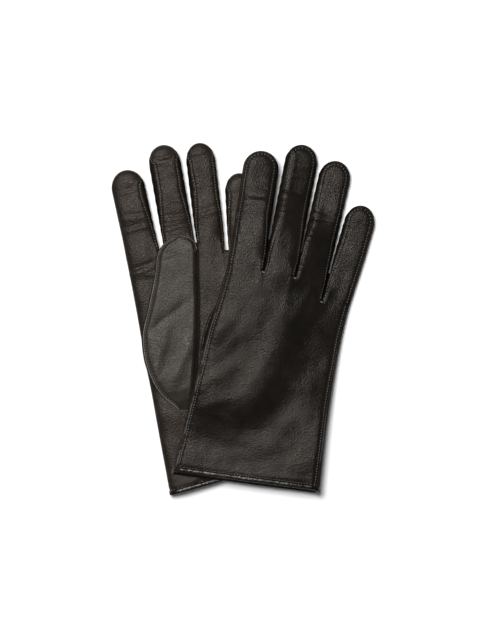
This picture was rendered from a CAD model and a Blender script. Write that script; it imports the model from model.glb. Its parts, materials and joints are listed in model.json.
"""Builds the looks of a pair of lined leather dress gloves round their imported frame."""

from __future__ import annotations

import json
import logging
import math
from dataclasses import dataclass, field
from enum import Enum
from typing import Callable

import bmesh
import bpy
import numpy as np
from mathutils import Matrix, Vector

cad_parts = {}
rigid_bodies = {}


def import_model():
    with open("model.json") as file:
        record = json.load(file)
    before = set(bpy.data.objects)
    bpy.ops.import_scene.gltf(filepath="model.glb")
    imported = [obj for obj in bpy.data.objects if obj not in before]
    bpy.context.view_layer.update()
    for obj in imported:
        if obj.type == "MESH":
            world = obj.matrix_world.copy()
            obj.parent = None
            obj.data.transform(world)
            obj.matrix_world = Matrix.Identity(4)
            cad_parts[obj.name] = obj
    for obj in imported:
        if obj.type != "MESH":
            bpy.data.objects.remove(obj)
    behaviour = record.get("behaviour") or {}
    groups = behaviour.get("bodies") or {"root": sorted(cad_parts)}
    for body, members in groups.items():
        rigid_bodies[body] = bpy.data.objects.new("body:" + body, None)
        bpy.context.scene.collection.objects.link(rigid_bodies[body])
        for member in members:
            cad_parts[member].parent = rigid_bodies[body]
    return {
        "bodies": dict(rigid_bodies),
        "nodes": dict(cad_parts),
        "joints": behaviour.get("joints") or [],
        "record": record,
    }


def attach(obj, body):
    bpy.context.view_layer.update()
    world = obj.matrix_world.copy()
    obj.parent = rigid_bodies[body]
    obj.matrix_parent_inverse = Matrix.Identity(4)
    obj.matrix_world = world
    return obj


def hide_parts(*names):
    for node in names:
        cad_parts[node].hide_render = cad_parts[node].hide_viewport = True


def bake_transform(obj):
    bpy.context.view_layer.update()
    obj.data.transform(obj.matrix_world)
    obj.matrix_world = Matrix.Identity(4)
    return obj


log = logging.getLogger("gloves")

Array = np.ndarray
MM = 0.001
HALF = 4.5
THUMB_HALF = 3.2
ROUND = 9.0
TIP_LONG = 14.0
AIR = 0.4
LEATHER = 0.7
STITCH_PITCH = 2.05
SEAM_INSET = 1.0
WIDTH_PLACES = [15, 45, 75]
SEAM_STITCH = (0.62, 0.24, 0.2)
CUFF_STITCH = (0.7, 0.2, 0.16)
THUMB_STITCH = (0.66, 0.24, 0.2)
TACK = (1.5, 0.42, 0.34)


class Side(Enum):
    """The two faces of a glove, as the sign of their height over the glove's middle."""

    BACK = 1
    PALM = -1


class Hand(Enum):
    """The two gloves of the pair."""

    RIGHT = "right"
    LEFT = "left"


def lookup(x: Array, table: list[list[float]]) -> Array:
    """Returns the table's second column at x, run straight between its entries."""
    rows = np.array(table, float)
    return np.interp(x, rows[:, 0], rows[:, 1])


def ease(t: Array) -> Array:
    """Returns a smooth step from 0 to 1 as t goes from 0 to 1."""
    c = np.clip(t, 0.0, 1.0)
    return c * c * (3.0 - 2.0 * c)


def turned(p: Array, degrees: float) -> Array:
    """Returns plane points turned about the origin, anticlockwise."""
    a = math.radians(degrees)
    p = np.asarray(p, float)
    x, y = p[..., 0], p[..., 1]
    return np.stack([x * math.cos(a) - y * math.sin(a), x * math.sin(a) + y * math.cos(a)], -1)


def ripple(p: Array, seed: int, wave: float, count: int = 14) -> Array:
    """Smooth, seeded waves of mixed directions.

    Args:
        p: Plane points in millimetres.
        seed: Seed of the directions and phases.
        wave: Typical distance from crest to crest, in millimetres.
        count: Number of plane waves that are added.

    Returns:
        Heights at the points, about -1 to 1.
    """
    rng = np.random.default_rng(seed)
    total = np.zeros(len(p))
    for _ in range(count):
        angle, phase = rng.uniform(0, math.pi), rng.uniform(0, 2 * math.pi)
        k = 2 * math.pi / (wave * rng.uniform(0.7, 1.6))
        total += np.sin(k * (p[:, 0] * math.cos(angle) + p[:, 1] * math.sin(angle)) + phase)
    return total / math.sqrt(count)


def inset_of(width: float) -> float:
    """Returns the distance along the leather's rounding that shows as this width from above."""
    return ROUND * math.degrees(math.acos(1 - width / ROUND)) / 90.0


@dataclass(frozen=True)
class Fold:
    """A soft ridge or dent of a panel, as long as it is drawn on the pattern."""

    x: float
    y: float
    angle: float
    long: float
    wide: float
    high: float
    creased: bool = False

    def height(self, p: Array) -> Array:
        """Returns the fold's height at plane points."""
        q = turned(p - np.array([self.x, self.y]), -self.angle)
        bow = 0.02 * q[:, 0] ** 2 / max(self.long, 1.0)
        u, v = q[:, 0] / self.long, (q[:, 1] - bow) / self.wide
        across = -1.6 * v * np.exp(-v * v) if self.creased else np.exp(-v * v)
        return self.high * across * np.exp(-u * u)


@dataclass(frozen=True)
class FingerCut:
    """One finger as it lies: its root, lean, length, half widths and seam insets.

    Each seam inset is the width of side leather that shows beyond the seam, near the
    root, in the middle and near the tip; the first is on the index side. None means that
    the palm's leather wraps round that side.
    """

    name: str
    root: tuple[float, float]
    lean: float
    length: float
    root_half: float
    middle_half: float
    back_low: tuple[float, float, float] = (2.0, 2.0, 1.8)
    back_high: tuple[float, float, float] = (2.0, 1.9, 1.7)
    palm_low: tuple[float, float, float] | None = (3.0, 2.6, 2.2)
    palm_high: tuple[float, float, float] | None = (3.0, 2.4, 2.0)

    def half_width(self, s: Array) -> Array:
        """Returns the half width at a distance from the root."""
        return self.root_half + (self.middle_half - self.root_half) * ease(s / 40.0)

    def at(self, x: Array, y: Array) -> Array:
        """Returns pattern points of the finger's own across and along distances."""
        q = np.stack(np.broadcast_arrays(np.asarray(x, float), np.asarray(y, float)), -1)
        return np.array(self.root) + turned(q, -self.lean)


@dataclass
class EdgeRun:
    """A stretch of a glove's outline with what its leather does along it."""

    points: Array
    normals: Array
    inset: Array
    ramp: Array

    def picked(self, which: Array | slice) -> EdgeRun:
        """Returns the same stretch with only some of its points, or in another order."""
        return EdgeRun(*(a[which] for a in (self.points, self.normals, self.inset, self.ramp)))

    def backwards(self) -> EdgeRun:
        """Returns the same stretch run the other way."""
        return self.picked(slice(None, None, -1))

    def seam(self, extra: float = 0.0) -> Array:
        """Returns the panel's edge on the flat leather, moved in by extra."""
        return self.points + self.normals * (self.inset + extra)[:, None]


@dataclass(frozen=True)
class GloveCut:
    """The pattern of one glove and how it lies."""

    hand: Hand
    turn: float
    cuff: tuple[float, float]
    index_edge: list[list[float]]
    little_edge: list[list[float]]
    root_line: list[list[float]]
    fingers: list[FingerCut]
    back_folds: list[Fold] = field(default_factory=list)
    palm_folds: list[Fold] = field(default_factory=list)
    webs: tuple[float, float, float] = (19.0, 18.0, 20.0)
    centring: tuple[float, float] = (-1.1, -0.2)
    cuff_slope: float = 0.06
    layer_high: float = 2 * HALF + AIR
    bump_high: float = 2 * THUMB_HALF + 2 * AIR + 0.4

    def step(self, p: Array) -> Array:
        """Returns how high the left glove holds the right one up."""
        lean = math.radians(22.6)
        s = (p - np.array([45.6, 27.0])) @ np.array([math.cos(lean), math.sin(lean)])
        return self.layer_high * (1 - ease((s + 5.0) / 55.0))

    def bump(self, p: Array) -> Array:
        """Returns how high the right glove's own folded thumb holds it up."""
        a, d = np.array([-33.0, 84.0]), np.array([16.0, 82.0])
        t = np.clip(((p - a) @ d) / (d @ d), 0, 1)
        off = np.linalg.norm(p - a - t[..., None] * d, axis=-1)
        return self.bump_high * (1 - ease((off - 23.0) / 37.0))

    def flat_place(self, p: Array) -> Array:
        """Returns the frame's x and y of pattern points."""
        side = -self.turn if self.hand is Hand.RIGHT else self.turn
        return turned(p, side) + np.array(self.cuff) - np.array(self.centring)

    def place(self, p: Array, z: Array) -> Array:
        """Returns frame points, in millimetres, of pattern points at heights over the middle."""
        if self.hand is Hand.RIGHT:
            high = self.step(p) + self.bump(p) + HALF + z
        else:
            high = HALF - z
        return np.concatenate([self.flat_place(p), high[:, None]], 1)

    def split_line(self, x: Array, side: Side) -> Array:
        """Returns the height on the pattern at which the fingers part on one face."""
        y = lookup(x, self.root_line)
        if side is Side.BACK:
            return y
        crotches = [f.at(f.root_half, 0.0)[0] for f in self.fingers[:3]]
        return y + np.interp(x, crotches, self.webs)

    def cuff_line(self, x: Array, side: Side) -> Array:
        """Returns the height on the pattern of the mouth's edge on one face."""
        return self.cuff_slope * x + (2.3 if side is Side.BACK else 0.0)

    def finger_side(self, i: int, high: bool, side: Side) -> EdgeRun:
        """One side of a finger's outline, from where it parts to the middle of its tip.

        Args:
            i: The finger's place, 0 being the index finger.
            high: Whether it is the side towards the little finger.
            side: The glove's face.

        Returns:
            The stretch of outline.
        """
        f = self.fingers[i]
        sign = 1.0 if high else -1.0
        outer = i == (3 if high else 0)
        s = np.arange(-12.0, f.length - TIP_LONG, 1.0)
        t = np.radians(np.arange(0.0, 90.1, 4.5))
        x = np.concatenate([f.half_width(s), f.half_width(np.full(len(t), 99.0)) * np.cos(t)])
        y = np.concatenate([s, f.length - TIP_LONG + TIP_LONG * np.sin(t)])
        p = f.at(sign * x, y)
        keep = p[:, 1] >= self.split_line(p[:, 0], side)
        first = int(np.argmax(keep))
        p, y = p[first:], y[first:]
        along = y - y[0]
        round_tip = np.clip((y - (f.length - TIP_LONG)) / TIP_LONG, 0, 1)
        run = np.gradient(p, axis=0)
        run[-1] = f.at(0.0, 0.0) - f.at(sign * 1.0, 0.0)
        normal = np.stack([run[:, 1], -run[:, 0]], 1) * -sign
        normal /= np.linalg.norm(normal, axis=1)[:, None]
        back = f.back_high if high else f.back_low
        palm = f.palm_high if high else f.palm_low
        widths = back if side is Side.BACK else palm
        tip_inset = 3.5 if side is Side.BACK else -3.5
        wraps = widths is None
        shown = np.interp(y, WIDTH_PLACES, back if wraps else widths)
        inset = np.array([inset_of(w) for w in shown]) * (-1.0 if wraps else 1.0)
        inset = inset + (tip_inset - inset) * ease(round_tip * 1.15)
        ramp = np.ones(len(y)) if outer else ease(along / 14.0)
        opened = ramp if outer else np.minimum(1.0, along / 42.0) ** 0.8
        return EdgeRun(p, normal, inset * np.where(inset > 0, opened, 1.0), ramp)

    def hand_side(self, high: bool, side: Side) -> EdgeRun:
        """Returns one side edge of the hand's outline, from below the cuff to the fingers."""
        table = self.little_edge if high else self.index_edge
        f = self.fingers[3 if high else 0]
        corner = f.at(f.root_half if high else -f.root_half, 0.0)
        y = np.arange(-12.0, corner[1], 1.5)
        rough = lookup(np.linspace(-20, 170, 191), table)
        smooth = np.convolve(np.pad(rough, 12, mode="edge"), np.ones(25) / 25, mode="valid")
        x = np.interp(y, np.linspace(-20, 170, 191), smooth)
        x += (corner[0] - x[-1]) * ease((y - 120.0) / 35.0)
        p = np.stack([x, y], 1)
        run = np.gradient(p, axis=0)
        normal = np.stack([run[:, 1], -run[:, 0]], 1) * (-1.0 if high else 1.0)
        normal /= np.linalg.norm(normal, axis=1)[:, None]
        width = np.interp(y, [0, 60, 140], [2.6, 2.4, 2.0])
        inset = np.array([inset_of(w) for w in width]) * (1.0 if side is Side.BACK else -1.0)
        return EdgeRun(p, normal, inset, np.ones(len(y)))


@dataclass
class Skin:
    """One face of a glove: lays flat leather round the glove's outline and gives it relief."""

    cut: GloveCut
    side: Side
    runs: dict[tuple[int, bool], EdgeRun] = field(default_factory=dict)

    def __post_init__(self) -> None:
        """Runs the outline from the index side of the cuff round every finger."""
        parts = [self.cut.hand_side(False, self.side)]
        for i in range(4):
            low = self.cut.finger_side(i, False, self.side)
            high = self.cut.finger_side(i, True, self.side)
            self.runs[i, False], self.runs[i, True] = low, high
            if i == 0:
                low = low.picked(low.points[:, 1] > parts[0].points[-1, 1] + 0.5)
            if i == 3:
                limit = self.cut.hand_side(True, self.side).points[-1, 1] + 0.5
                high = high.picked(high.points[:, 1] > limit)
            parts += [low, high.backwards()]
        parts.append(self.cut.hand_side(True, self.side).backwards())
        self.hand_runs = {False: parts[0], True: parts[-1].backwards()}
        join = [np.concatenate([getattr(r, name) for r in parts]) for name in
                ("points", "normals", "inset", "ramp")]
        self.points, self.normals, self.inset, self.ramp = join
        self.inner = np.concatenate([np.full(len(r.points), 2 <= k <= len(parts) - 3)
                                     for k, r in enumerate(parts)])
        steps = np.linalg.norm(np.diff(self.points, axis=0), axis=1)
        self.along = np.concatenate([[0.0], np.cumsum(steps)])

    def nearest(self, p: Array) -> dict[str, Array]:
        """Finds the nearest place of the outline.

        Args:
            p: Points of the flat leather.

        Returns:
            The place, the way in from it, the distance in, and what the outline says there.
        """
        a, b = self.points[:-1], self.points[1:]
        d = b - a
        size = np.maximum((d * d).sum(1), 1e-9)
        best, share = np.zeros(len(p), int), np.zeros(len(p))
        for start in range(0, len(p), 2000):
            q = p[start:start + 2000]
            t = np.clip(((q[:, None] - a) * d).sum(2) / size, 0, 1)
            gap = ((q[:, None] - a - t[..., None] * d) ** 2).sum(2)
            k = gap.argmin(1)
            best[start:start + 2000] = k
            share[start:start + 2000] = t[np.arange(len(q)), k]

        def mix(values: Array) -> Array:
            """Returns what the outline holds at each nearest place."""
            w = share if values.ndim == 1 else share[:, None]
            return values[best] * (1 - w) + values[best + 1] * w

        place, normal = mix(self.points), mix(self.normals)
        normal /= np.maximum(np.linalg.norm(normal, axis=1), 1e-6)[:, None]
        away = p - place
        gap = np.linalg.norm(away, axis=1)
        below = self.inner[best] & (p[:, 1] <= self.cut.split_line(p[:, 0], self.side) + 0.05)
        sign = np.where(((away * normal).sum(1) < 0) & ~below, -1.0, 1.0)
        way = np.where((gap > 0.5)[:, None], away / np.maximum(gap, 1e-6)[:, None] * sign[:, None], normal)
        return {"place": place, "way": way, "deep": gap * sign, "inset": mix(self.inset),
                "ramp": mix(self.ramp), "along": mix(self.along)}

    def relief(self, p: Array, near: dict[str, Array]) -> Array:
        """Returns the height of waves, folds and seam puckers over the plain shape."""
        back = self.side is Side.BACK
        seed = (11 if back else 23) + (0 if self.cut.hand is Hand.RIGHT else 40)
        calm = ease((near["deep"] + 1.0) / 7.0)
        high = (0.50 * ripple(p, seed, 34.0) + 0.075 * ripple(p, seed + 1, 11.0)) * calm
        for fold in (self.cut.back_folds if back else self.cut.palm_folds):
            high += fold.height(p) * ease((near["deep"] + 1.0) / 4.0)
        inside = near["deep"] - near["inset"]
        sewn = ease((near["inset"] + 1.0) / 2.0)
        high += sewn * 0.22 * np.exp(-(((inside - 2.6) / 1.3) ** 2))
        high -= sewn * 0.24 * np.exp(-(((inside - SEAM_INSET) / 0.5) ** 2))
        pucker = np.sin(near["along"] * 1.17 + 1.7 * np.sin(near["along"] * 0.23))
        high += sewn * 0.13 * pucker * np.exp(-((inside / 3.6) ** 2))
        high -= (1 - sewn) * 0.85 * ease((3.0 - inside) / 1.6)
        mouth = p[:, 1] - self.cut.cuff_line(p[:, 0], self.side)
        high -= 0.5 * ease((2.0 - mouth) / 1.6)
        high += 0.2 * np.exp(-(((mouth - 4.2) / 1.6) ** 2))
        return high

    def lay(self, p: Array, sink: float = 0.0) -> tuple[Array, Array]:
        """Lays flat leather round the glove.

        Args:
            p: Points of the flat leather, in millimetres.
            sink: Depth under the leather's face.

        Returns:
            Pattern points and their heights over the glove's middle.
        """
        near = self.nearest(p)
        deep, ramp = near["deep"], near["ramp"]
        turn = np.radians(90.0 * np.minimum(1.0, deep / ROUND))
        folded = ramp * ROUND * (1 - np.cos(turn)) + (1 - ramp) * deep
        d = np.where(deep >= ROUND, deep, folded)
        plane = np.where((deep >= ROUND)[:, None], p, near["place"] + near["way"] * d[:, None])
        lift = np.radians(90.0 * np.clip((deep + (1 - ramp) * 4.6) / (7.0 + 2.0 * ramp), -0.9, 1.0))
        sign = float(self.side.value)
        z = sign * HALF * np.sin(lift)
        out = np.concatenate([-near["way"] * (np.cos(lift) / ROUND)[:, None],
                              sign * (np.sin(lift) / HALF)[:, None]], 1)
        out /= np.linalg.norm(out, axis=1)[:, None]
        out *= (self.relief(p, near) - sink)[:, None]
        return plane + out[:, :2], z + out[:, 2]

    def skin(self, p: Array, sink: float = 0.0) -> Array:
        """Returns frame points, in millimetres, of the flat leather laid round the glove."""
        return self.cut.place(*self.lay(p, sink))

    def normal(self, p: Array) -> Array:
        """Returns the leather's outward direction at points of the flat leather."""
        e = 0.45
        across = self.skin(p + [e, 0]) - self.skin(p - [e, 0])
        along = self.skin(p + [0, e]) - self.skin(p - [0, e])
        n = np.cross(across, along)
        n /= np.linalg.norm(n, axis=1)[:, None]
        inwards = self.skin(p, 0.5) - self.skin(p)
        return n * np.where((n * inwards).sum(1) > 0, -1.0, 1.0)[:, None]

    def corner(self, i: int, high: bool) -> Array:
        """Returns where a finger's seam edge meets the line on which the fingers part."""
        x = self.runs[i, high].seam()[:1, 0]
        return np.array([x[0], self.cut.split_line(x, self.side)[0]])


def spread(u: Array) -> Array:
    """Returns shares of a width that lie closer together near both edges."""
    return u - 0.09 * np.sin(2 * math.pi * u)


def resample(line: Array, share: Array) -> Array:
    """Returns points of a line at shares of its length."""
    steps = np.linalg.norm(np.diff(line, axis=0), axis=1)
    along = np.concatenate([[0.0], np.cumsum(steps)])
    return np.stack([np.interp(share * along[-1], along, line[:, k]) for k in (0, 1)], 1)


class Finish:
    """Base of the finishes: makes a node material once and hands it out."""

    name: str

    def material(self) -> bpy.types.Material:
        """Returns the finish's material, built on first use."""
        found = bpy.data.materials.get(self.name)
        if found is None:
            found = bpy.data.materials.new(self.name)
            found.use_nodes = True
            tree = found.node_tree
            self.dress(tree, tree.nodes["Principled BSDF"])
        return found

    def dress(self, tree: bpy.types.NodeTree, shader: bpy.types.Node) -> None:
        """Adds the finish's nodes to its tree."""
        raise NotImplementedError

    @staticmethod
    def noise(tree: bpy.types.NodeTree, scale: float, detail: float) -> bpy.types.Node:
        """Returns a noise texture in metres, on the object's own coordinates."""
        coords = tree.nodes.new("ShaderNodeTexCoord")
        texture = tree.nodes.new("ShaderNodeTexNoise")
        texture.inputs["Scale"].default_value = scale
        texture.inputs["Detail"].default_value = detail
        tree.links.new(coords.outputs["Object"], texture.inputs["Vector"])
        return texture

    @staticmethod
    def ranged(tree: bpy.types.NodeTree, source: bpy.types.NodeSocket, low: float, high: float,
               start: float = 0.3, end: float = 0.7) -> bpy.types.NodeSocket:
        """Returns a value from low to high as the source goes from start to end."""
        node = tree.nodes.new("ShaderNodeMapRange")
        for name, value in (("From Min", start), ("From Max", end), ("To Min", low), ("To Max", high)):
            node.inputs[name].default_value = value
        tree.links.new(source, node.inputs["Value"])
        return node.outputs["Result"]

    @staticmethod
    def mixed(tree: bpy.types.NodeTree, share: bpy.types.NodeSocket,
              a: tuple[float, float, float], b: tuple[float, float, float]) -> bpy.types.NodeSocket:
        """Returns a colour between a and b by share."""
        node = tree.nodes.new("ShaderNodeMix")
        node.data_type = "RGBA"
        tree.links.new(share, node.inputs["Factor"])
        for name, colour in (("A", a), ("B", b)):
            socket = next(s for s in node.inputs if s.name == name and s.type == "RGBA")
            socket.default_value = (*colour, 1.0)
        return next(s for s in node.outputs if s.type == "RGBA")


@dataclass(frozen=True)
class Leather(Finish):
    """Smooth glove leather: fine grain, soft blotches and a low, uneven gloss."""

    name: str
    colour: tuple[float, float, float]
    lighter: tuple[float, float, float]
    rough: tuple[float, float] = (0.42, 0.56)
    gloss: float = 0.42
    grain: float = 0.16

    def dress(self, tree: bpy.types.NodeTree, shader: bpy.types.Node) -> None:
        """Adds colour blotches, uneven gloss, pores and fine wrinkles."""
        blotch = self.noise(tree, 70.0, 4.0)
        mottle = self.noise(tree, 900.0, 2.0)
        share = self.ranged(tree, blotch.outputs["Fac"], 0.0, 0.75)
        tone = tree.nodes.new("ShaderNodeMath")
        tone.operation = "ADD"
        tree.links.new(share, tone.inputs[0])
        tree.links.new(self.ranged(tree, mottle.outputs["Fac"], -0.35, 0.45), tone.inputs[1])
        held = self.ranged(tree, tone.outputs["Value"], 0.0, 1.0, 0.0, 1.0)
        tree.links.new(self.mixed(tree, held, self.colour, self.lighter), shader.inputs["Base Color"])
        gloss = self.noise(tree, 130.0, 3.0)
        tree.links.new(self.ranged(tree, gloss.outputs["Fac"], *self.rough), shader.inputs["Roughness"])
        shader.inputs["Specular IOR Level"].default_value = self.gloss
        shader.inputs["Specular Tint"].default_value = (1.0, 0.93, 0.85, 1.0)
        pores = tree.nodes.new("ShaderNodeTexVoronoi")
        pores.inputs["Scale"].default_value = 1150.0
        coords = tree.nodes.new("ShaderNodeTexCoord")
        tree.links.new(coords.outputs["Object"], pores.inputs["Vector"])
        wrinkle = self.noise(tree, 560.0, 4.0)
        grain = tree.nodes.new("ShaderNodeBump")
        grain.inputs["Strength"].default_value = self.grain
        grain.inputs["Distance"].default_value = 0.0004
        tree.links.new(pores.outputs["Distance"], grain.inputs["Height"])
        creases = tree.nodes.new("ShaderNodeBump")
        creases.inputs["Strength"].default_value = 0.34
        creases.inputs["Distance"].default_value = 0.0007
        tree.links.new(wrinkle.outputs["Fac"], creases.inputs["Height"])
        tree.links.new(grain.outputs["Normal"], creases.inputs["Normal"])
        tree.links.new(creases.outputs["Normal"], shader.inputs["Normal"])


@dataclass(frozen=True)
class Knit(Finish):
    """Fine ribbed knit of the lining."""

    name: str = "knit_wall"
    colour: tuple[float, float, float] = (0.035, 0.033, 0.034)
    lighter: tuple[float, float, float] = (0.075, 0.07, 0.07)

    def dress(self, tree: bpy.types.NodeTree, shader: bpy.types.Node) -> None:
        """Adds ribs, stitches across them and loose fibre."""
        coords = tree.nodes.new("ShaderNodeTexCoord")
        ribs = tree.nodes.new("ShaderNodeTexWave")
        ribs.inputs["Scale"].default_value = 300.0
        ribs.inputs["Distortion"].default_value = 1.2
        tree.links.new(coords.outputs["Object"], ribs.inputs["Vector"])
        fibre = self.noise(tree, 1400.0, 3.0)
        share = self.ranged(tree, ribs.outputs["Fac"], 0.0, 1.0, 0.1, 0.9)
        tree.links.new(self.mixed(tree, share, self.colour, self.lighter), shader.inputs["Base Color"])
        tree.links.new(self.ranged(tree, fibre.outputs["Fac"], 0.8, 1.0), shader.inputs["Roughness"])
        bump = tree.nodes.new("ShaderNodeBump")
        bump.inputs["Strength"].default_value = 0.5
        bump.inputs["Distance"].default_value = 0.0004
        tree.links.new(ribs.outputs["Fac"], bump.inputs["Height"])
        tree.links.new(bump.outputs["Normal"], shader.inputs["Normal"])


@dataclass(frozen=True)
class Thread(Finish):
    """Sewing thread with a soft shine."""

    name: str = "sewing_thread"
    colour: tuple[float, float, float] = (0.10, 0.09, 0.08)
    lighter: tuple[float, float, float] = (0.26, 0.24, 0.215)

    def dress(self, tree: bpy.types.NodeTree, shader: bpy.types.Node) -> None:
        """Adds uneven colour and gloss along the thread."""
        twist = self.noise(tree, 800.0, 2.0)
        share = self.ranged(tree, twist.outputs["Fac"], 0.0, 1.0)
        tree.links.new(self.mixed(tree, share, self.colour, self.lighter), shader.inputs["Base Color"])
        tree.links.new(self.ranged(tree, twist.outputs["Fac"], 0.5, 0.7), shader.inputs["Roughness"])


@dataclass(frozen=True)
class Paper(Finish):
    """Matt white paper of the studio floor."""

    name: str = "studio_paper"
    colour: tuple[float, float, float] = (0.86, 0.86, 0.86)
    lighter: tuple[float, float, float] = (0.88, 0.88, 0.88)

    def dress(self, tree: bpy.types.NodeTree, shader: bpy.types.Node) -> None:
        """Adds a barely uneven white."""
        cloud = self.noise(tree, 3.0, 2.0)
        share = self.ranged(tree, cloud.outputs["Fac"], 0.0, 1.0)
        tree.links.new(self.mixed(tree, share, self.colour, self.lighter), shader.inputs["Base Color"])
        shader.inputs["Roughness"].default_value = 0.95
        shader.inputs["Specular IOR Level"].default_value = 0.05


BACK_LEATHER = Leather("nappa_back", (0.0034, 0.0028, 0.0022),
                       (0.0075, 0.0058, 0.0044), (0.31, 0.42), 0.18, 0.5)
PALM_LEATHER = Leather("nappa_palm", (0.0066, 0.0044, 0.0031),
                       (0.0165, 0.0112, 0.0076), (0.33, 0.45), 0.18, 0.5)
THUMB_LEATHER = Leather("nappa_thumb", (0.0115, 0.0096, 0.0080),
                        (0.0235, 0.0198, 0.0165), (0.35, 0.47), 0.25, 0.45)
SIDE_LEATHER = Leather("nappa_side", (0.0022, 0.0017, 0.0013),
                       (0.0080, 0.0056, 0.0040), (0.5, 0.65), 0.07)
BINDING_LEATHER = Leather("nappa_binding", (0.0025, 0.0023, 0.0022),
                          (0.0050, 0.0046, 0.0044), (0.22, 0.32), 0.30)
FLESH = Leather("flesh_side", (0.03, 0.021, 0.015), (0.06, 0.042, 0.03), (0.8, 0.95), 0.1, 0.4)
RAW_EDGE = Leather("raw_edge", (0.07, 0.062, 0.054), (0.17, 0.155, 0.138), (0.55, 0.7), 0.3)
LINING_KNIT = Knit()
THREAD = Thread()
PAPER = Paper()


@dataclass
class Sheet:
    """A leather sheet with a face, a flesh side and edges, made from one grid.

    at gives frame points in millimetres for shares of the grid's two directions and a
    depth under the leather's face. hems names the grid's edges that are cut edges, and
    joins those at which another sheet carries the surface on.
    """

    name: str
    cells: tuple[int, int]
    at: Callable[[Array, Array, float], Array]
    face: Finish
    thick: float = LEATHER
    hems: str = "LRT"
    joins: str = ""
    normal_at: Callable[[Array, Array], Array] | None = None
    flesh: Finish = FLESH
    edge: Finish = RAW_EDGE

    def build(self) -> bpy.types.Object:
        """Builds the sheet and returns its object, at the origin with its place in its mesh."""
        bm = bmesh.new()
        bmesh.ops.create_grid(bm, x_segments=self.cells[0], y_segments=self.cells[1], size=1.0)
        bm.verts.ensure_lookup_table()
        share = (np.array([v.co[:2] for v in bm.verts]) + 1) / 2
        share = np.clip(np.round(share, 6), 0, 1)
        u, v = share[:, 0], share[:, 1]
        outer, inner = self.at(u, v, 0.0), self.at(u, v, self.thick)
        borders = {
            key: [e for e in bm.edges if all(test(share[w.index]) for w in e.verts)]
            for key, test in {
                "L": lambda s: s[0] == 0, "R": lambda s: s[0] == 1,
                "B": lambda s: s[1] == 0, "T": lambda s: s[1] == 1,
            }.items()
        }
        made = bmesh.ops.duplicate(bm, geom=bm.verts[:] + bm.edges[:] + bm.faces[:])
        copies = [w for w in made["geom"] if isinstance(w, bmesh.types.BMVert)]
        source = list(bm.verts)[:len(share)]
        twin = dict(zip(source, copies))
        inner_verts = set(copies)
        faces = [f for f in bm.faces if f.verts[0] not in inner_verts]
        inner_faces = [f for f in bm.faces if f.verts[0] in inner_verts]
        for k, w in enumerate(source):
            w.co, twin[w].co = outer[k] * MM, inner[k] * MM
        bm.normal_update()
        tilt = sum(f.normal.dot(f.verts[0].co - twin[f.verts[0]].co) for f in faces)
        bmesh.ops.reverse_faces(bm, faces=inner_faces if tilt > 0 else faces)
        for f in inner_faces:
            f.material_index = 1
        for key in self.hems:
            rim = borders[key] + [bm.edges.get([twin[w] for w in e.verts]) for e in borders[key]]
            strip = bmesh.ops.bridge_loops(bm, edges=rim)["faces"]
            for f in strip:
                f.material_index = 2
            for e in rim:
                e.smooth = False
        bmesh.ops.recalc_face_normals(bm, faces=bm.faces[:])
        bm.normal_update()
        tilt = sum(f.normal.dot(f.verts[0].co - twin[f.verts[0]].co) for f in faces)
        if tilt < 0:
            bmesh.ops.reverse_faces(bm, faces=bm.faces[:])
        for f in bm.faces:
            f.smooth = True
        bm.verts.index_update()
        ids = {w.index: k for k, w in enumerate(source)}
        ends = [{"B": 0, "T": 1}[key] for key in self.joins]
        joined = [k for k in range(len(source)) if v[k] in ends]
        obj = finished(self.name, bm, (self.face, self.flesh, self.edge))
        if joined and self.normal_at is not None:
            self.match_normals(obj, joined, u, v, ids)
        return obj

    def match_normals(self, obj: bpy.types.Object, joined: list[int], u: Array, v: Array,
                      ids: dict[int, int]) -> None:
        """Gives the joined border the surface's own normals, so that no seam shows."""
        wanted = dict(zip(joined, self.normal_at(u[joined], v[joined])))
        mesh = obj.data
        normals = np.zeros((len(mesh.loops), 3), np.float32)
        for face in mesh.polygons:
            if face.material_index == 0:
                for k in face.loop_indices:
                    normals[k] = wanted.get(ids.get(mesh.loops[k].vertex_index, -1), (0, 0, 0))
        mesh.normals_split_custom_set([tuple(n) for n in normals])


def finished(name: str, bm: bmesh.types.BMesh, finishes: tuple[Finish, ...]) -> bpy.types.Object:
    """Turns a bmesh into an object of the scene, with its finishes in order."""
    mesh = bpy.data.meshes.new(name)
    bm.to_mesh(mesh)
    bm.free()
    for finish in finishes:
        mesh.materials.append(finish.material())
    obj = bpy.data.objects.new(name, mesh)
    bpy.context.scene.collection.objects.link(obj)
    return obj


class Ring(Enum):
    """Which directions of a band's grid close on themselves."""

    ROUND = "round"
    BOTH = "both"


def closed_band(name: str, cells: tuple[int, int], at: Callable[[Array, Array], Array],
                finish: Finish, ring: Ring = Ring.BOTH) -> bpy.types.Object:
    """A closed surface from one grid whose two edges meet.

    Args:
        name: The piece's name.
        cells: Cells round the band and across it.
        at: Gives frame points in millimetres for shares of the two directions.
        finish: The band's finish.
        ring: Which directions close.

    Returns:
        The piece.
    """
    bm = bmesh.new()
    bmesh.ops.create_grid(bm, x_segments=cells[0], y_segments=cells[1], size=1.0)
    share = np.clip(np.round((np.array([w.co[:2] for w in bm.verts]) + 1) / 2, 6), 0, 1)
    u, v = share[:, 0] % 1.0, share[:, 1] % 1.0 if ring is Ring.BOTH else share[:, 1]
    for w, co in zip(bm.verts, at(u, v)):
        w.co = co * MM
    bmesh.ops.remove_doubles(bm, verts=bm.verts[:], dist=2e-6)
    bmesh.ops.dissolve_degenerate(bm, edges=bm.edges[:], dist=1e-7)
    bmesh.ops.recalc_face_normals(bm, faces=bm.faces[:])
    for f in bm.faces:
        f.smooth = True
    return finished(name, bm, (finish,))


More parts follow.
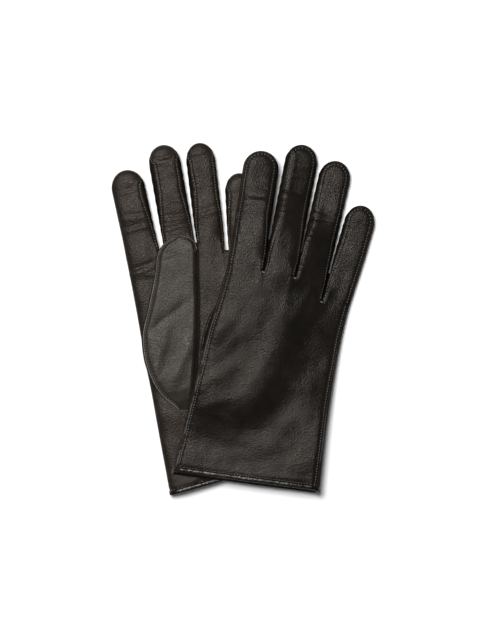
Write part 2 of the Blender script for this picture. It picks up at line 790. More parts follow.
def stitches(name: str, places: Array, normals: Array, size: tuple[float, float, float]) -> bpy.types.Object:
    """A row of stitches in thread.

    Args:
        name: The piece's name.
        places: Middles of the stitches, in millimetres, in order along the row.
        normals: The leather's outward direction at each.
        size: Half length, half width and half height of a stitch, in millimetres.

    Returns:
        The row as one piece.
    """
    bm = bmesh.new()
    runs = np.gradient(places, axis=0) if len(places) > 1 else np.array([[1.0, 0, 0]])
    for place, run, normal in zip(places, runs, normals):
        z = Vector(normal).normalized()
        x = Vector(run)
        x = (x - z * x.dot(z)).normalized()
        frame = Matrix((x, z.cross(x), z)).transposed()
        matrix = Matrix.Translation(Vector(place) * MM) @ frame.to_4x4() @ Matrix.Diagonal((*size, 1.0))
        made = bmesh.ops.create_icosphere(bm, subdivisions=1, radius=MM, matrix=matrix)
        for w in made["verts"]:
            for f in w.link_faces:
                f.smooth = True
    return finished(name, bm, (THREAD,))


def tie(obj: bpy.types.Object, prefix: str, nodes: list[str],
        ends: list[Array] | None = None) -> None:
    """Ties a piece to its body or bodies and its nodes.

    Args:
        obj: The piece.
        prefix: The glove's side, which starts its bodies' and nodes' names.
        nodes: The nodes that the piece stands for, without the prefix.
        ends: Where the bend starts and ends, in metres, if it bends.
    """
    if ends is None:
        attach(obj, f"{prefix}_hand")
    else:
        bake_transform(obj)
    if nodes:
        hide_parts(*[f"{prefix}_{n}" for n in nodes])
    log.info("%s: %d faces", obj.name, len(obj.data.polygons))


@dataclass
class Glove:
    """One glove: its hand panels, fingers, gussets, binding, lining and seams."""

    cut: GloveCut
    face: dict[Side, Finish]
    columns: int = 30
    lining_deep: float = 0.95
    lining_thick: float = 0.65
    bend_start: float = 20.0
    bend_end: float = 36.0

    def __post_init__(self) -> None:
        """Lays out both faces."""
        self.skins = {side: Skin(self.cut, side) for side in Side}

    @property
    def prefix(self) -> str:
        """Returns the start of this glove's piece and node names."""
        return self.cut.hand.value

    def dress(self, obj: bpy.types.Object, slot: str, nodes: list[str], finger: int | None = None) -> None:
        """Ties a piece to its body or bodies, its nodes and its material slot."""
        f = None if finger is None else self.cut.fingers[finger]
        if f is None or (self.cut.hand, f.name) == (Hand.LEFT, "little"):
            tie(obj, self.prefix, nodes)
            return
        ends = [self.cut.place(f.at(0.0, s)[None], np.zeros(1))[0] * MM
                for s in (self.bend_start, self.bend_end)]
        tie(obj, self.prefix, nodes, ends)

    def split_columns(self, skin: Skin) -> Array:
        """Returns where the panel's columns cross the line on which the fingers part."""
        share = spread(np.linspace(0, 1, self.columns + 1))
        ends = [(skin.corner(i, False)[0], skin.corner(i, True)[0]) for i in range(4)]
        return np.concatenate([a + (b - a) * share for a, b in ends])

    def hand_flat(self, skin: Skin) -> Callable[[Array, Array], Array]:
        """Returns the map from shares of the hand panel to its flat leather."""
        tops = self.split_columns(skin)
        lines = {}
        for high, i in ((False, 0), (True, 3)):
            line = np.concatenate([skin.hand_runs[high].seam(), skin.runs[i, high].seam()])
            lines[high] = line[np.argsort(line[:, 1])]

        def edge(y: Array, high: bool) -> Array:
            """Returns where a side seam runs at heights on the pattern."""
            return np.interp(y, lines[high][:, 1], lines[high][:, 0])

        def flat(u: Array, v: Array) -> Array:
            """Returns flat leather at shares across and along the panel."""
            top = np.interp(u * (len(tops) - 1), np.arange(len(tops)), tops)
            c = (top - tops[0]) / (tops[-1] - tops[0])
            y1 = self.cut.split_line(top, skin.side)
            y0 = self.cut.cuff_line(110.0 * c - 55.0, skin.side) - 0.6
            y = y0 + (y1 - y0) * v
            x = edge(y, False) + c * (edge(y, True) - edge(y, False))
            last = edge(y1, False) + c * (edge(y1, True) - edge(y1, False))
            return np.stack([x + (top - last) * v ** 3, y], 1)

        return flat

    def finger_flat(self, skin: Skin, i: int) -> Callable[[Array, Array], Array]:
        """Returns the map from shares of a finger's panel to its flat leather."""
        shoulder = -11
        low, high = skin.runs[i, False].seam(), skin.runs[i, True].seam()
        a, b = skin.corner(i, False), skin.corner(i, True)
        left = np.concatenate([[a], low[low[:, 1] > a[1] + 0.3][:shoulder + 1]])
        right = np.concatenate([[b], high[high[:, 1] > b[1] + 0.3][:shoulder + 1]])
        tip = np.concatenate([low[shoulder:], high[shoulder:][::-1][1:]])

        def flat(u: Array, v: Array) -> Array:
            """Returns flat leather at shares across and along the panel."""
            w = spread(u)
            bottom_x = a[0] + (b[0] - a[0]) * w
            bottom = np.stack([bottom_x, self.cut.split_line(bottom_x, skin.side)], 1)
            w, k = w[:, None], v[:, None]
            sides = (1 - w) * resample(left, v) + w * resample(right, v)
            ends = (1 - k) * bottom + k * resample(tip, w[:, 0])
            corners = (1 - w) * (1 - k) * a + w * (1 - k) * b + (1 - w) * k * tip[0] + w * k * tip[-1]
            return sides + ends - corners

        return flat

    def build_panels(self) -> None:
        """Builds the back and palm of the hand and of every finger."""
        for side, skin in self.skins.items():
            part = "back" if side is Side.BACK else "palm"
            flats = [("hand", self.hand_flat(skin), None)]
            flats += [(f.name, self.finger_flat(skin, i), i) for i, f in enumerate(self.cut.fingers)]
            for name, flat, i in flats:
                rows = round(self.columns * (5.2 if i is None else 3.2))
                across = 4 * self.columns + 3 if i is None else self.columns
                obj = Sheet(
                    f"{self.prefix}_{name}_{part}", (across, rows),
                    lambda u, v, sink, flat=flat: skin.skin(flat(u, v), sink), self.face[side],
                    hems="LRB" if i is None else "LRT", joins="T" if i is None else "B",
                    normal_at=lambda u, v, flat=flat: skin.normal(flat(u, v)),
                ).build()
                node = f"{part}_panel" if i is None else f"{name}_{part}"
                self.dress(obj, f"{part}_leather", [node], i)

    def side_at(self, i: int, high: bool) -> Callable[[Array, Array, float], Array]:
        """Returns the map of the strip of leather between a finger's back and palm."""
        back, palm = self.skins[Side.BACK].runs[i, high], self.skins[Side.PALM].runs[i, high]
        count = len(palm.points)
        edges = {Side.BACK: back.seam(1.1)[-count:], Side.PALM: palm.seam(1.1)}

        def at(u: Array, v: Array, sink: float) -> Array:
            """Returns frame points for shares of the sheet and a depth under its face."""
            k = v * (count - 6)
            t = 2 * u - 1
            rise, bow = np.sin(np.abs(t) * math.pi / 2), 1 - np.cos(t * math.pi / 2)
            pick = [np.interp(k, np.arange(count), column) for column in
                    (*palm.points.T, *palm.normals.T)]
            middle = np.stack(pick[:2], 1)
            inward = np.stack(pick[2:], 1)
            dent = 0.5 * np.exp(-(((t - 0.42) / 0.16) ** 2)) + 0.12 * np.sin(k * 0.8 + t)
            middle = middle + inward * (0.1 + sink + dent * ease(v * 8.0))[:, None]
            plane, height = np.zeros_like(middle), np.zeros(len(u))
            for side, upper in ((Side.BACK, t >= 0), (Side.PALM, t < 0)):
                flat = np.stack([np.interp(k, np.arange(count), c) for c in edges[side].T], 1)
                p, z = self.skins[side].lay(flat, 0.42 + sink)
                mixed = middle + (p - middle) * bow[:, None]
                plane = np.where(upper[:, None], mixed, plane)
                height = np.where(upper, z * rise, height)
            return self.cut.place(plane, height)

        return at

    def build_sides(self) -> None:
        """Builds the strips between the fingers' backs and palms, and the gussets at their roots."""
        for i, f in enumerate(self.cut.fingers):
            for high in (False, True):
                if i == (3 if high else 0):
                    continue
                end = "outer" if high else "inner"
                obj = Sheet(f"{self.prefix}_{f.name}_side_{end}", (14, 70), self.side_at(i, high),
                            SIDE_LEATHER, hems="LRBT").build()
                self.dress(obj, "back_leather", [f"{f.name}_fourchette_{end}"], i)
        for i in range(3):
            a, b = self.cut.fingers[i].name, self.cut.fingers[i + 1].name
            obj = Sheet(f"{self.prefix}_{a}_{b}_crotch", (20, 20), self.gusset_at(i), SIDE_LEATHER,
                        hems="LRBT").build()
            self.dress(obj, "back_leather", [f"{a}_{b}_gusset"])

    def gusset_at(self, i: int) -> Callable[[Array, Array, float], Array]:
        """Returns the map of the sloping V that joins two fingers' side strips."""
        skin = self.skins[Side.BACK]
        runs = [skin.runs[i, True], skin.runs[i + 1, False]]
        longs = [len(r.points) - len(self.skins[Side.PALM].runs[j, h].points) + 1
                 for r, j, h in zip(runs, (i, i + 1), (True, False))]

        def at(u: Array, v: Array, sink: float) -> Array:
            """Returns frame points for shares of the sheet and a depth under its face."""
            t = np.abs(2 * u - 1)
            rise, bow = np.sin(t * math.pi / 2), (1 - np.cos(t * math.pi / 2))[:, None]
            tops, middles = [], []
            for run, count in zip(runs, longs):
                index = np.arange(len(run.points))
                k = v * count
                flat = np.stack([np.interp(k, index, c) for c in run.seam(1.1).T], 1)
                tops.append(skin.lay(flat, 0.42 + sink))
                middles.append(np.stack([np.interp(k, index, c) for c in run.points.T], 1))
            centre = (middles[0] + middles[1]) / 2
            left = u < 0.5
            plane = np.where(left[:, None], tops[0][0], tops[1][0])
            high = np.where(left, tops[0][1], tops[1][1])
            floor = 2.2 - 5.6 * v - sink
            return self.cut.place(centre + (plane - centre) * bow, floor + (high - floor) * rise)

        return at

    def loop(self, t: Array, y: Array, sink: float) -> tuple[Array, Array]:
        """Lays points round the hand's cross-section, back first, at heights on the pattern.

        Args:
            t: Share of the way round, from the index side over the back.
            y: Height on the pattern over the cuff's line.
            sink: Depth under the leather's face.

        Returns:
            Pattern points and heights over the middle.
        """
        over = t < 0.5
        c = np.where(over, 2 * t, 2 - 2 * t)
        plane, height = np.zeros((len(t), 2)), np.zeros(len(t))
        for side, chosen in ((Side.BACK, over), (Side.PALM, ~over)):
            skin = self.skins[side]
            ends = []
            for high in (False, True):
                line = skin.hand_runs[high].points
                ends.append(np.interp(y, line[:, 1], line[:, 0]))
            x = ends[0] + c * (ends[1] - ends[0])
            flat = np.stack([x, y + self.cut.cuff_slope * x], 1)
            p, z = skin.lay(flat, sink)
            plane = np.where(chosen[:, None], p, plane)
            height = np.where(chosen, z, height)
        return plane, height

    def build_cuff(self) -> None:
        """Builds the rounded leather binding of the mouth."""
        out = np.array([0.1, 0.55, 0.78, 0.8, 0.7, 0.35, -0.3, -0.9,
                        -1.3, -1.5, -1.5, -1.3, -0.8, -0.2, 0.1])
        up = np.array([0.7, 0.55, -0.1, -1.2, -2.1, -2.65, -2.8, -2.7, -2.2, -1.0, 2.6, 2.9, 2.9, 1.4, 0.7])

        def at(u: Array, v: Array) -> Array:
            """Returns frame points for shares of the band."""
            k = v * (len(out) - 1)
            o, y = (np.interp(k, np.arange(len(out)), a) for a in (out, up))
            base, z0 = self.loop(u, np.full(len(u), 3.0), 0.0)
            deep, z1 = self.loop(u, np.full(len(u), 3.0), 1.0)
            way = np.concatenate([base - deep, (z0 - z1)[:, None]], 1)
            way /= np.maximum(np.linalg.norm(way, axis=1), 1e-6)[:, None]
            tuck = 0.02 * np.sin(u * 2 * math.pi * 37) * np.exp(-((y / 1.6) ** 2))
            o = o + 0.05 + tuck
            lip = 2.3 * ease((z0 / HALF + 0.5) / 1.3)
            plane = base + way[:, :2] * o[:, None] + np.stack([np.zeros(len(u)), y + lip - 3.0], 1)
            return self.cut.place(plane, z0 + way[:, 2] * o)

        obj = closed_band(f"{self.prefix}_cuff_rim", (260, len(out) - 1), at, BINDING_LEATHER)
        obj.modifiers.new("round", "SUBSURF").levels = 1
        obj.modifiers["round"].render_levels = 1
        self.dress(obj, "binding_leather", ["cuff_binding"])

    def build_linings(self) -> None:
        """Builds the lining of the hand and of every finger as closed knitted walls."""
        def hand_at(u: Array, v: Array) -> Array:
            """Returns frame points for shares round the hand and over its wall."""
            inner = v >= 0.5
            share = np.where(inner, 2 - 2 * v, 2 * v)
            y = 0.6 + 137.0 * share
            outer_p, outer_z = self.loop(u, y, self.lining_deep)
            inner_p, inner_z = self.loop(u, y, self.lining_deep + self.lining_thick)
            rise = 1.3 * ease((outer_z / HALF + 0.5) / 1.3) * (1 - share)
            plane = np.where(inner[:, None], inner_p, outer_p)
            plane = plane + np.stack([np.zeros(len(u)), rise], 1)
            return self.cut.place(plane, np.where(inner, inner_z, outer_z))

        obj = closed_band(f"{self.prefix}_hand_knit", (140, 100), hand_at, LINING_KNIT)
        self.dress(obj, "lining_knit", ["hand_lining"])
        for i, f in enumerate(self.cut.fingers):
            obj = closed_band(f"{self.prefix}_{f.name}_knit", (36, 60), self.finger_knit(i),
                              LINING_KNIT)
            self.dress(obj, "lining_knit", [f"{f.name}_lining"], i)

    def finger_knit(self, i: int) -> Callable[[Array, Array], Array]:
        """Returns the map of a finger's closed lining wall."""
        f = self.cut.fingers[i]

        def at(u: Array, v: Array) -> Array:
            """Returns frame points for shares of the band."""
            inner = v >= 0.5
            share = np.where(inner, 2 - 2 * v, 2 * v)
            straight = f.length - TIP_LONG
            s = np.minimum(25.0 + (straight - 25.0) * share / 0.8, straight)
            tip = np.radians(84.0 * np.clip((share - 0.8) / 0.2, 0, 1))
            c = np.where(u < 0.5, 4 * u - 1, 3 - 4 * u)
            x = c * (f.half_width(s) - 0.4) * np.cos(tip)
            flat = f.at(x, s + (TIP_LONG - 0.6) * np.sin(tip))
            deep = self.lining_deep + np.where(inner, self.lining_thick, 0.0)
            plane, height = np.zeros((len(u), 2)), np.zeros(len(u))
            for side, chosen in ((Side.BACK, u < 0.5), (Side.PALM, u >= 0.5)):
                p, z = self.skins[side].lay(flat, deep)
                plane = np.where(chosen[:, None], p, plane)
                height = np.where(chosen, z, height)
            return self.cut.place(plane, height)

        return at

    def sew(self, name: str, skin: Skin, line: Array, finger: int | None,
            size: tuple[float, float, float] = SEAM_STITCH) -> None:
        """Sews a row of stitches along a line of the flat leather."""
        long = np.linalg.norm(np.diff(line, axis=0), axis=1).sum()
        flat = resample(line, np.linspace(0, 1, max(2, round(long / STITCH_PITCH))))
        obj = stitches(f"{self.prefix}_{name}", skin.skin(flat, -0.05), skin.normal(flat), size)
        self.dress(obj, "back_leather" if skin.side is Side.BACK else "palm_leather", [], finger)

    def build_seams(self) -> None:
        """Sews every seam that shows, the cuff's line and the bar tacks at the crotches."""
        back, palm = self.skins[Side.BACK], self.skins[Side.PALM]
        for i, f in enumerate(self.cut.fingers):
            low, high = (back.runs[i, side].seam(SEAM_INSET) for side in (False, True))
            self.sew(f"{f.name}_back_seam", back, np.concatenate([low[2:], high[2:][::-1][1:]]), i)
            for side in (False, True):
                if i != (3 if side else 0):
                    run = palm.runs[i, side]
                    line = run.seam(SEAM_INSET)[2:][run.inset[2:] > 0.8]
                    self.sew(f"{f.name}_palm_seam_{'outer' if side else 'inner'}", palm, line, i)
        for side in (False, True):
            run = back.hand_runs[side]
            line = run.seam(SEAM_INSET)[run.points[:, 1] > 4.0]
            self.sew(f"hand_seam_{'outer' if side else 'inner'}", back, line, None)
        for skin in (back, palm):
            ends = [skin.hand_runs[side].seam(1.5) for side in (False, True)]
            x = [np.interp(3.0, e[:, 1], e[:, 0]) for e in ends]
            x = np.linspace(x[0], x[1], 60)
            line = np.stack([x, self.cut.cuff_line(x, skin.side) + 1.35], 1)
            self.sew(f"cuff_seam_{skin.side.name.lower()}", skin, line, None, CUFF_STITCH)
        places, ways = [], []
        for i in range(3):
            middle = (back.corner(i, True) + back.corner(i + 1, False)) / 2
            flat = middle + np.array([[-0.9, -0.6], [0.9, -0.6]])
            ends = back.skin(flat, -0.15)
            places.append(ends.mean(0))
            ways.append((ends[1] - ends[0], back.normal(flat[:1])[0]))
        bm = bmesh.new()
        for place, (run, out) in zip(places, ways):
            z = Vector(out).normalized()
            x = (Vector(run) - z * Vector(run).dot(z)).normalized()
            frame = Matrix((x, z.cross(x), z)).transposed().to_4x4()
            matrix = Matrix.Translation(Vector(place) * MM) @ frame @ Matrix.Diagonal((*TACK, 1.0))
            bmesh.ops.create_icosphere(bm, subdivisions=2, radius=MM, matrix=matrix)
        self.dress(finished(f"{self.prefix}_bar_tacks", bm, (THREAD,)), "back_leather", [])

    def build(self) -> None:
        """Builds the whole glove but its thumb."""
        self.build_panels()
        self.build_sides()
        self.build_cuff()
        self.build_linings()
        self.build_seams()


def piping(name: str, places: Array, normals: Array, wide: float, high: float, finish: Finish,
           ruffle: float = 0.0) -> bpy.types.Object:
    """A thin rounded edge that follows a line of places, tapered shut at both ends."""
    along = np.concatenate([[0.0], np.cumsum(np.linalg.norm(np.diff(places, axis=0), axis=1))])
    runs = np.gradient(places, axis=0)
    across = np.cross(normals, runs)
    across /= np.linalg.norm(across, axis=1)[:, None]

    def at(u: Array, v: Array) -> Array:
        """Returns frame points for shares round the edge and along it."""
        s = v * along[-1]
        pick = [np.stack([np.interp(s, along, a[:, k]) for k in range(3)], 1) for a in (places, normals, across)]
        shut = np.sqrt(np.clip(np.minimum(s, along[-1] - s) / 1.5, 0.0, 1.0))
        wave = 1 + ruffle * (np.sin(s * 1.9) * 0.6 + np.sin(s * 0.7 + 1.0) * 0.4)
        a = 2 * math.pi * u
        return (pick[0] + pick[2] * (np.cos(a) * wide * shut)[:, None]
                + pick[1] * (np.sin(a) * high * shut * wave)[:, None])

    return closed_band(name, (10, max(8, int(along[-1] / 0.8))), at, finish, Ring.ROUND)


@dataclass
class Thumb:
    """A glove's thumb, folded over the palm: face, underside, seam, stitches and lining."""

    glove: Glove
    face: Finish
    middle: list[list[float]] = field(default_factory=lambda: [
        [55, -30], [65, -33], [75, -34], [91, -33.1], [102, -31.5], [118, -28.5], [129, -24.2],
        [157, -15], [170, -11.7], [182, -8.5]])
    half: list[list[float]] = field(default_factory=lambda: [
        [55, 3], [62, 9.5], [75, 14.7], [91, 18.9], [102, 20.5], [118, 21.2], [129, 19.5],
        [157, 16], [170, 15.2], [190, 15.2]])
    foot: list[list[float]] = field(default_factory=lambda: [[55, 0.2], [62, 0.6], [70, 0.88], [80, 1.0]])
    tip_start: float = 168.0
    tip_high: float = 14.0
    tip_turn: float = 80.0
    foot_end: float = 55.0
    rounding: float = 6.5
    bend_start: float = 104.0
    bend_end: float = 128.0

    def place(self, p: Array, z: Array) -> Array:
        """Returns frame points of pattern points at heights over the thumb's middle."""
        cut = self.glove.cut
        rise = lookup(p[:, 1], self.foot)
        lift = (AIR + THUMB_HALF) * rise
        if cut.hand is Hand.RIGHT:
            high = cut.step(p) + AIR + THUMB_HALF + z * rise
        else:
            high = 2 * HALF + lift - z * rise
        return np.concatenate([cut.flat_place(p), high[:, None]], 1)

    def middle_at(self, y: Array) -> Array:
        """Returns the thumb's middle line, smoothed, at heights on the pattern."""
        return sum(lookup(y + d, self.middle) for d in (-5.0, 0.0, 5.0)) / 3

    def spot(self, c: Array, k: Array) -> tuple[Array, Array]:
        """Returns pattern points and closeness to the tip for shares across and along."""
        last = math.radians(self.tip_turn)
        k = k * (self.tip_start - self.foot_end + last * self.tip_high)
        y = np.minimum(self.foot_end + k, self.tip_start)
        t = np.clip((k - (self.tip_start - self.foot_end)) / self.tip_high, 0.0, last)
        half = sum(lookup(y + d, self.half) for d in (-6.0, -2.0, 2.0, 6.0)) / 4 * np.cos(t) ** 0.85
        y = y + self.tip_high * np.sin(t)
        return np.stack([self.middle_at(y) + c * half, y], 1), np.cos(t)

    def seam(self, inset: float) -> Array:
        """Returns the seam's line, up the outer side and over the tip, moved in by inset."""
        k = np.concatenate([np.linspace(0.0, 1.0, 90), np.linspace(1.0, 0.86, 16)[1:]])
        side = np.concatenate([-np.ones(90), np.ones(15)])
        p = self.spot(side, k)[0]
        run = np.gradient(p, axis=0)
        inwards = np.stack([run[:, 1], -run[:, 0]], 1)
        inwards /= np.linalg.norm(inwards, axis=1)[:, None]
        return p + inwards * inset

    def lay(self, p: Array, share: Array, taper: Array, over: bool, sink: float) -> Array:
        """Lays points on the face or the underside, with the seam's welt and soft folds."""
        half = lookup(p[:, 1], self.half) * taper
        edge = np.clip(half * (1 - np.abs(share)), 0.0, None)
        rounding = np.where(share > 0, 0.55, 1.0) * self.rounding
        rise = np.sin(np.radians(90.0) * np.clip(edge / rounding, 0, 1)) * np.sqrt(taper)
        z = THUMB_HALF * rise
        if over:
            line = self.seam(0.0)
            gap = np.sqrt(((p[:, None] - line) ** 2).sum(2).min(1))
            z = z + 0.35 * np.exp(-(((gap - 3.2) / 1.2) ** 2)) - 0.35 * np.exp(-(((gap - 1.5) / 0.5) ** 2))
            z = z + (0.28 * ripple(p, 71, 30.0) + 0.04 * ripple(p, 72, 10.0)) * ease(edge / 6.0)
            for fold in (Fold(-40, 100, 62, 30, 4.5, 1.0), Fold(-24, 92, 55, 22, 4.0, 0.8),
                         Fold(-31, 124, 25, 22, 3.0, -0.7), Fold(-16, 171, 8, 14, 1.6, 0.5, True)):
                z = z + fold.height(p) * ease(edge / 5.0)
        return self.place(p, (z - sink) * (-1.0 if over else 1.0))

    def side_map(self, over: bool) -> Callable[[Array, Array, float], Array]:
        """Returns the map of the face or of the underside."""
        def at(u: Array, v: Array, sink: float) -> Array:
            """Returns frame points for shares of the sheet and a depth under its face."""
            w = 2 * u - 1
            c = w * (1.5 - 0.5 * w * w) * (1.0 if over else 1.05)
            p, taper = self.spot(c, v)
            return self.lay(p, c, taper, over, sink)
        return at

    def tie(self, obj: bpy.types.Object, slot: str, nodes: list[str]) -> None:
        """Ties a piece to the hand and the thumb, with its nodes and slot."""
        ends = [self.place(np.array([[lookup(np.array([y]), self.middle)[0], y]]), np.zeros(1))[0] * MM
                for y in (self.bend_start, self.bend_end)]
        tie(obj, self.glove.prefix, nodes, ends)

    def line_on_face(self, inset: float, sink: float) -> tuple[Array, Array]:
        """Returns frame places and outward ways of a line that runs beside the seam."""
        p = self.seam(inset)
        half = np.maximum(lookup(p[:, 1], self.half), 1.0)
        share = np.clip((p[:, 0] - self.middle_at(p[:, 1])) / half, -1, 1)
        past = np.clip((p[:, 1] - self.tip_start) / self.tip_high, 0, 0.99)
        taper = np.clip(np.cos(np.arcsin(past)), 0.1, 1)
        places = self.lay(p, share / taper, taper, True, sink)
        up = np.array([0, 0, -1.0 if self.glove.cut.hand is Hand.RIGHT else 1.0])
        return places, np.tile(up, (len(p), 1))

    def build(self) -> None:
        """Builds the thumb's leather, seam and lining."""
        prefix = self.glove.prefix
        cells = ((64, 150))
        face = Sheet(f"{prefix}_thumb_face", cells, self.side_map(True), self.face, hems="LRBT").build()
        self.tie(face, "palm_leather", ["thumb_base", "thumb_sleeve"])
        under = Sheet(f"{prefix}_thumb_under", (36, 90), self.side_map(False), SIDE_LEATHER,
                      flesh=SIDE_LEATHER, edge=SIDE_LEATHER, hems="LRBT").build()
        self.tie(under, "palm_leather", [])
        places, ways = self.line_on_face(0.35, 0.0)
        self.tie(piping(f"{prefix}_thumb_welt", places, ways, 0.42, 0.75, RAW_EDGE, 0.25), "palm_leather", [])
        places, ways = self.line_on_face(1.55, -0.1)
        steps = np.concatenate([[0.0], np.cumsum(np.linalg.norm(np.diff(places, axis=0), axis=1))])
        s = np.linspace(4.0, steps[-1], round(steps[-1] / 2.1))
        places = np.stack([np.interp(s, steps, places[:, k]) for k in range(3)], 1)
        ways = np.tile(ways[0], (len(places), 1))
        row = stitches(f"{prefix}_thumb_stitches", places, ways, THUMB_STITCH)
        self.tie(row, "palm_leather", [])

        def knit(u: Array, v: Array) -> Array:
            """Returns frame points for shares round the thumb and over its wall."""
            inner = v >= 0.5
            share = 0.3 + 0.62 * np.where(inner, 2 - 2 * v, 2 * v)
            c = np.where(u < 0.5, 4 * u - 1, 3 - 4 * u) * np.where(inner, 0.82, 0.88)
            p, taper = self.spot(c, share)
            edge = lookup(p[:, 1], self.half) * taper * (1 - np.abs(c))
            z = 1.7 * np.sin(np.radians(90) * np.clip((edge - 2.0) / 6.0, 0.05, 1)) - np.where(inner, 0.5, 0.0)
            return self.place(p, np.where(u < 0.5, z, -z))

        tube = closed_band(f"{prefix}_thumb_knit", (36, 60), knit, LINING_KNIT)
        self.tie(tube, "lining_knit", ["thumb_lining"])


@dataclass
class Studio:
    """White paper floor, soft light and the camera that looks straight down."""

    high: float = 3.0
    lens: float = 225.0
    power: float = 74.0
    key_at: tuple[float, float, float] = (-0.45, 0.6, 2.25)
    key_size: float = 1.1
    world: float = 0.15

    def build_camera(self) -> None:
        """Places the camera over the pair, with +Y up in the picture."""
        data = bpy.data.cameras.new("camera")
        data.lens, data.sensor_width = self.lens, 36.0
        data.sensor_fit = "VERTICAL"
        data.sensor_height = 36.0
        camera = bpy.data.objects.new("camera", data)
        camera.location = (-0.00225, -0.0004, self.high)
        bpy.context.scene.collection.objects.link(camera)
        bpy.context.scene.camera = camera

    def build(self) -> None:
        """Builds the floor, the world and the lights."""
        bm = bmesh.new()
        bmesh.ops.create_grid(bm, x_segments=8, y_segments=8, size=4.0)
        bmesh.ops.translate(bm, verts=bm.verts[:], vec=(0, 0, -0.0004))
        finished("floor", bm, (PAPER,))
        world = bpy.data.worlds.new("studio")
        world.use_nodes = True
        sky = world.node_tree.nodes["Background"]
        sky.inputs["Color"].default_value = (0.97, 0.985, 1.0, 1.0)
        sky.inputs["Strength"].default_value = self.world
        bpy.context.scene.world = world
        data = bpy.data.lights.new("key", "AREA")
        data.shape, data.size, data.energy = "DISK", self.key_size, self.power
        light = bpy.data.objects.new("key", data)
        light.location = self.key_at
        light.rotation_euler = (-Vector(self.key_at)).to_track_quat("-Z", "Y").to_euler()
        bpy.context.scene.collection.objects.link(light)
        bpy.context.scene.view_settings.view_transform = "Standard"
        log.info("studio is up")


RIGHT_CUT = GloveCut(
    Hand.RIGHT, 11.0, (1.5, -120.4),
    [[0, -55.5], [40, -53.2], [70, -51.3], [100, -49.6], [125, -47.3], [155, -44.7]],
    [[0, 55.3], [40, 51.8], [70, 50.2], [100, 49.3], [125, 49.6], [155, 50.9]],
    [[-46, 155], [6.5, 156], [29.5, 142], [52, 143]],
    [
        FingerCut("index", (-31.2, 155), -2, 89, 13.5, 13.4, (1.8, 1.8, 1.8), (2.0, 2.5, 2.2), None),
        FingerCut("middle", (-5.3, 156), 0, 98.5, 11.6, 12.3, (4.3, 4.0, 3.5), (1.7, 2.0, 1.9)),
        FingerCut("ring", (18.5, 151), 2, 96.5, 11.3, 12, (3.5, 3.5, 2.6), (1.8, 1.8, 1.8)),
        FingerCut("little", (40.5, 143), 5.2, 75.5, 10.4, 11.4, (2.6, 2.6, 2.4), (1.7, 1.7, 1.7),
                  palm_high=None),
    ],
    back_folds=[
        Fold(-38, 112, 70, 24, 7, 0.9), Fold(-35.5, 92, 55, 14, 5, 0.7), Fold(-41, 69, 40, 16, 5, 0.8),
        Fold(-38, 50, 25, 16, 4, 0.7), Fold(-28, 43, 160, 12, 4, 0.6), Fold(16, 133, 80, 18, 6, 0.8),
        Fold(32, 113, 70, 20, 7, 0.7), Fold(38, 133, 60, 16, 5, 0.6), Fold(20, 30, 15, 22, 7, 0.7),
        Fold(20, 147, 85, 12, 4, 0.7), Fold(-7, 112, 85, 26, 9, -1.0), Fold(-21, 78, 75, 26, 9, -1.0),
        Fold(-25, 22, 5, 26, 6, -0.7), Fold(-19, 157, 90, 14, 2.2, 0.5), Fold(4, 160, 90, 14, 2.2, 0.5),
        Fold(-31, 208, 4, 11, 2.2, 0.5, True), Fold(-5, 216, -6, 11, 2.2, 0.5, True),
        Fold(21, 201, 6, 11, 2.0, 0.7, True), Fold(22, 205.5, -8, 10, 2.0, 0.5, True),
        Fold(45, 188, 10, 9, 2.0, 0.4, True), Fold(-5, 232, 8, 10, 2.0, 0.4, True),
    ],
)
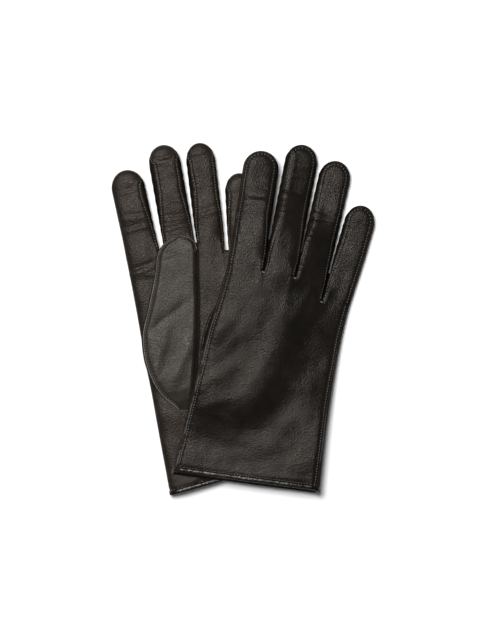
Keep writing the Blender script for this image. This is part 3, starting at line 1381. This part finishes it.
LEFT_CUT = GloveCut(
    Hand.LEFT, 12.5, (-2.25, -114.4),
    [[0, -55.5], [40, -54.3], [70, -53], [100, -52.4], [125, -51.1], [155, -50.1]],
    [[0, 55], [40, 51.5], [70, 49], [100, 47], [125, 45.6], [155, 43.8]],
    [[-52, 155], [2.5, 156], [23.5, 143], [46, 143]],
    [
        FingerCut("index", (-36.7, 155), 0, 84.5, 13.4, 12.6, palm_low=None, palm_high=(5.6, 3.9, 2.8)),
        FingerCut("middle", (-9.6, 155), 2.5, 97, 11.6, 12, palm_low=(5.0, 3.8, 3.5),
                  palm_high=(3.2, 3.0, 2.6)),
        FingerCut("ring", (12.6, 152), 5.6, 96, 9.6, 11, palm_low=(6.0, 4.3, 2.6), palm_high=(2.2, 1.8, 1.3)),
        FingerCut("little", (33.6, 143), 9.6, 77, 10.2, 11, palm_high=None),
    ],
    palm_folds=[
        Fold(-38, 165, 8, 16, 2.2, 0.9, True), Fold(-37, 160, -10, 14, 3, 0.6),
        Fold(-36, 196, 4, 12, 2.2, 0.7, True),
        Fold(-36, 204, -6, 11, 2.0, 0.5, True), Fold(-36, 224, 5, 10, 1.8, 0.5, True),
        Fold(-8, 188, 4, 11, 2.4, 0.7, True), Fold(-7, 197, -7, 11, 2.0, 0.6, True),
        Fold(-6, 243, 3, 10, 1.8, 0.7, True), Fold(-6, 239, -6, 10, 1.6, 0.4, True),
        Fold(17, 196, 6, 10, 2.2, 0.7, True), Fold(21, 238, 4, 9, 1.8, 0.5, True),
        Fold(-36, 180, 80, 18, 5, 0.7), Fold(-8, 176, 85, 18, 5, 0.7), Fold(-7, 216, 85, 16, 6, 0.5),
        Fold(15, 180, 80, 20, 4, 0.6), Fold(-46, 30, 70, 30, 6, 0.6), Fold(-48, 8, 20, 12, 4, 0.5),
    ],
)


def main() -> None:
    """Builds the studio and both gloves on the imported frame."""
    logging.basicConfig(level=logging.INFO, format="%(name)s: %(message)s")
    studio = Studio()
    studio.build_camera()
    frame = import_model()
    log.info("frame loaded: %s", type(frame).__name__)
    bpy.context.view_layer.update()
    studio.build()
    for cut in (LEFT_CUT, RIGHT_CUT):
        glove = Glove(cut, {Side.BACK: BACK_LEATHER, Side.PALM: PALM_LEATHER})
        glove.build()
        Thumb(glove, THUMB_LEATHER).build()


if __name__ == "__main__":
    main()
